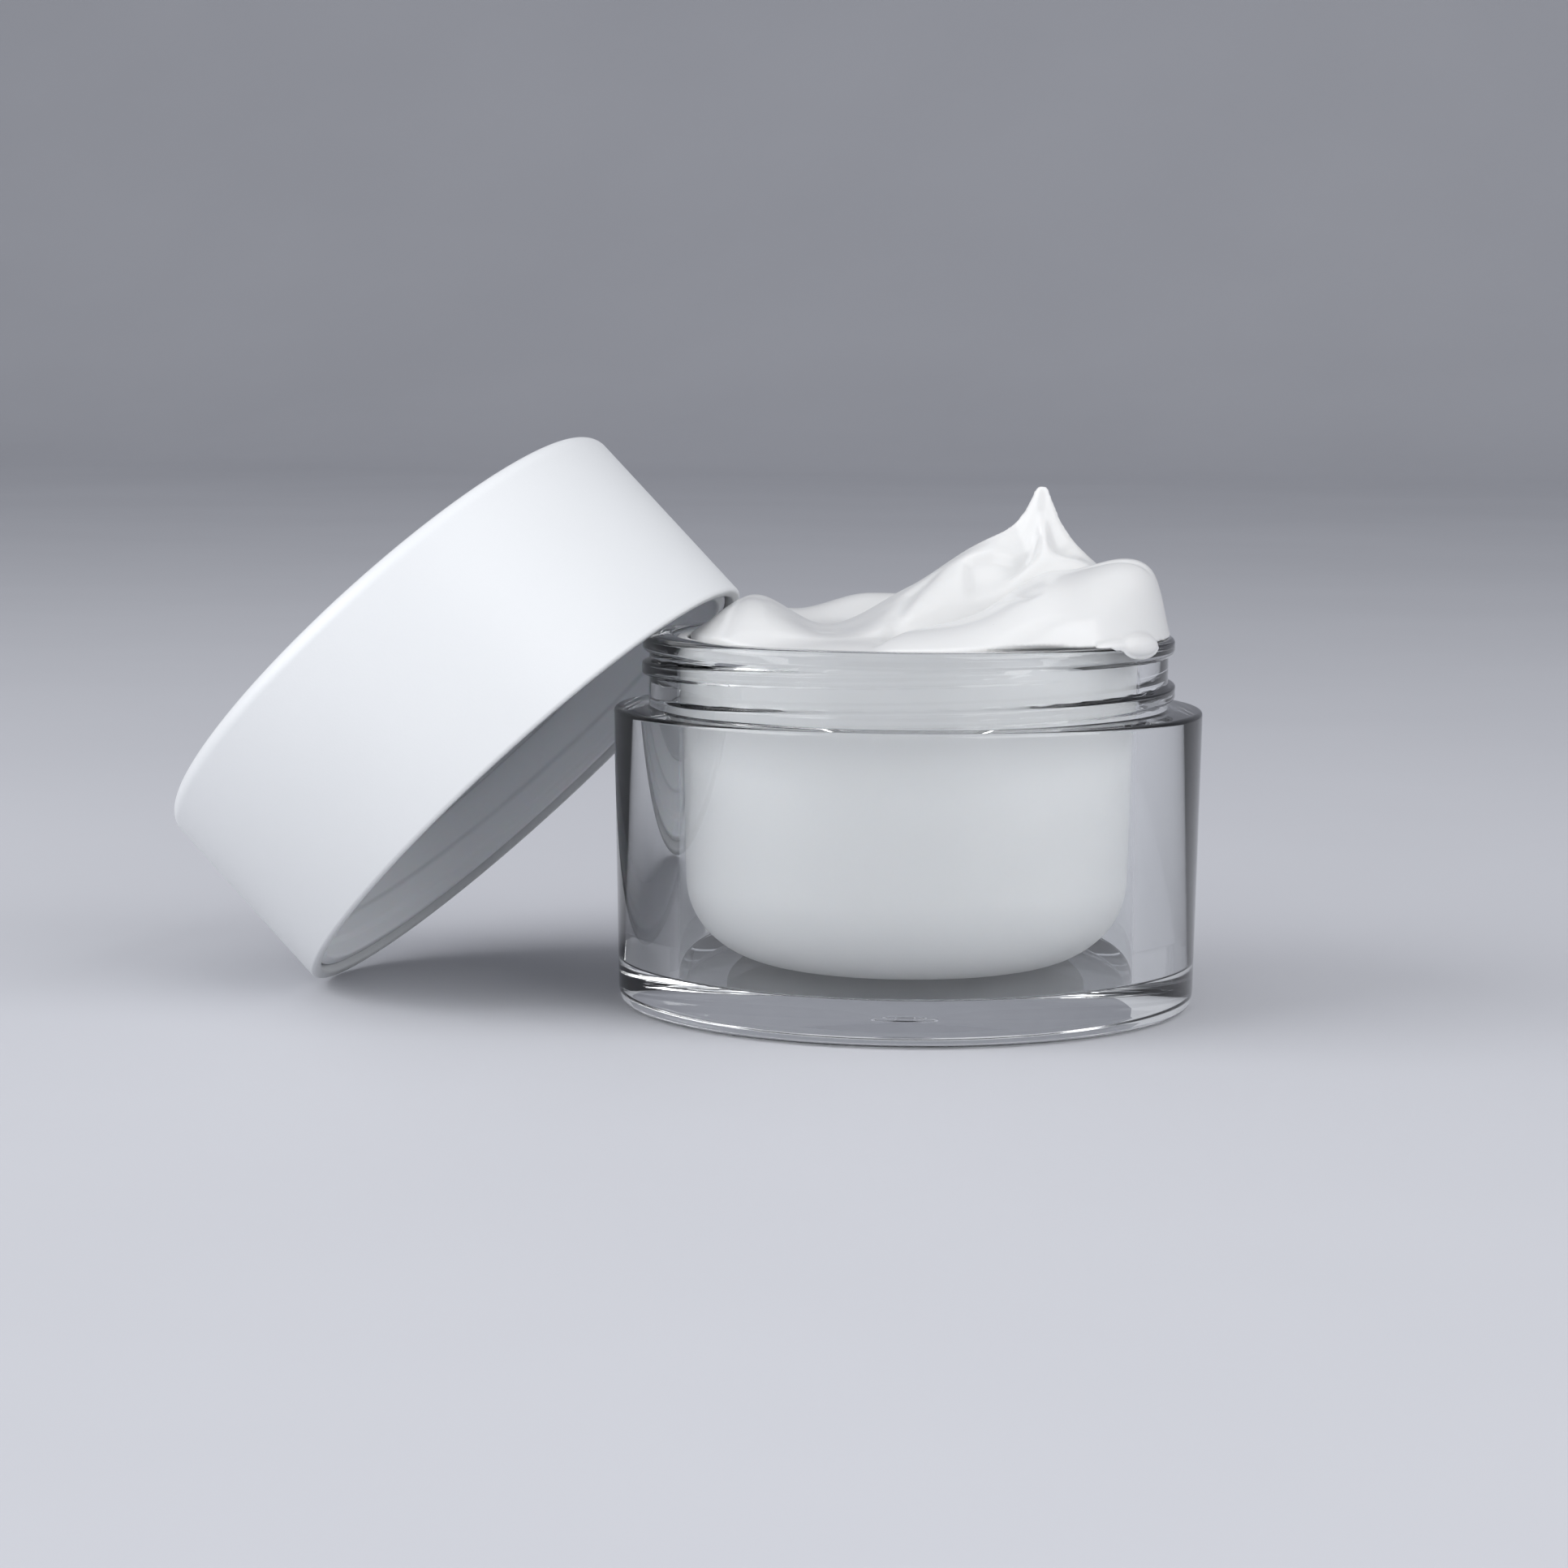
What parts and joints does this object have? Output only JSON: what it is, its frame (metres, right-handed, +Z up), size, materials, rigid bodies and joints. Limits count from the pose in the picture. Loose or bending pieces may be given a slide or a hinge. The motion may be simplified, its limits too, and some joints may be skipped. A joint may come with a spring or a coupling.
{
  "type": "cosmetic cream jar",
  "caption": "Clear thick-walled jar with a white inner cup full of swirled cream, opened, its white screw cap leaning against the threaded neck.",
  "frame": {"origin": "on the jar's axis, in the plane of the flat base that the jar stands on", "axes": "+Z up along the jar's axis, -X towards the side where the cap leans, +Y away from the front"},
  "size_m": [0.1142, 0.064, 0.0612],
  "materials": {
    "clear_acrylic": "clear, polished",
    "cup_white": "opaque white, soft sheen",
    "cream": "soft glossy cream",
    "cap_white": "satin white",
    "insert_white": "satin white, unpainted",
    "gasket_foam": "fine closed-cell foam, matt"
  },
  "bodies": {
    "jar": {"outer_jar": "clear_acrylic", "inner_cup": "cup_white", "cream": "cream"},
    "cap_liner": {"cap_gasket": "gasket_foam"},
    "cap": {"cap_shell": "cap_white", "cap_insert": "insert_white"}
  },
  "joints": [
    {"name": "cap_lift", "type": "slide", "parent": "jar", "child": "cap_liner", "axis": [-0.7003, 0, 0.7139], "range_m": [0, 0.06]},
    {"name": "cap_turn", "type": "hinge", "parent": "cap_liner", "child": "cap", "pos_m": [-0.04315, 0, 0.02222], "axis": [-0.7003, 0, 0.7139], "continuous": true}
  ]
}
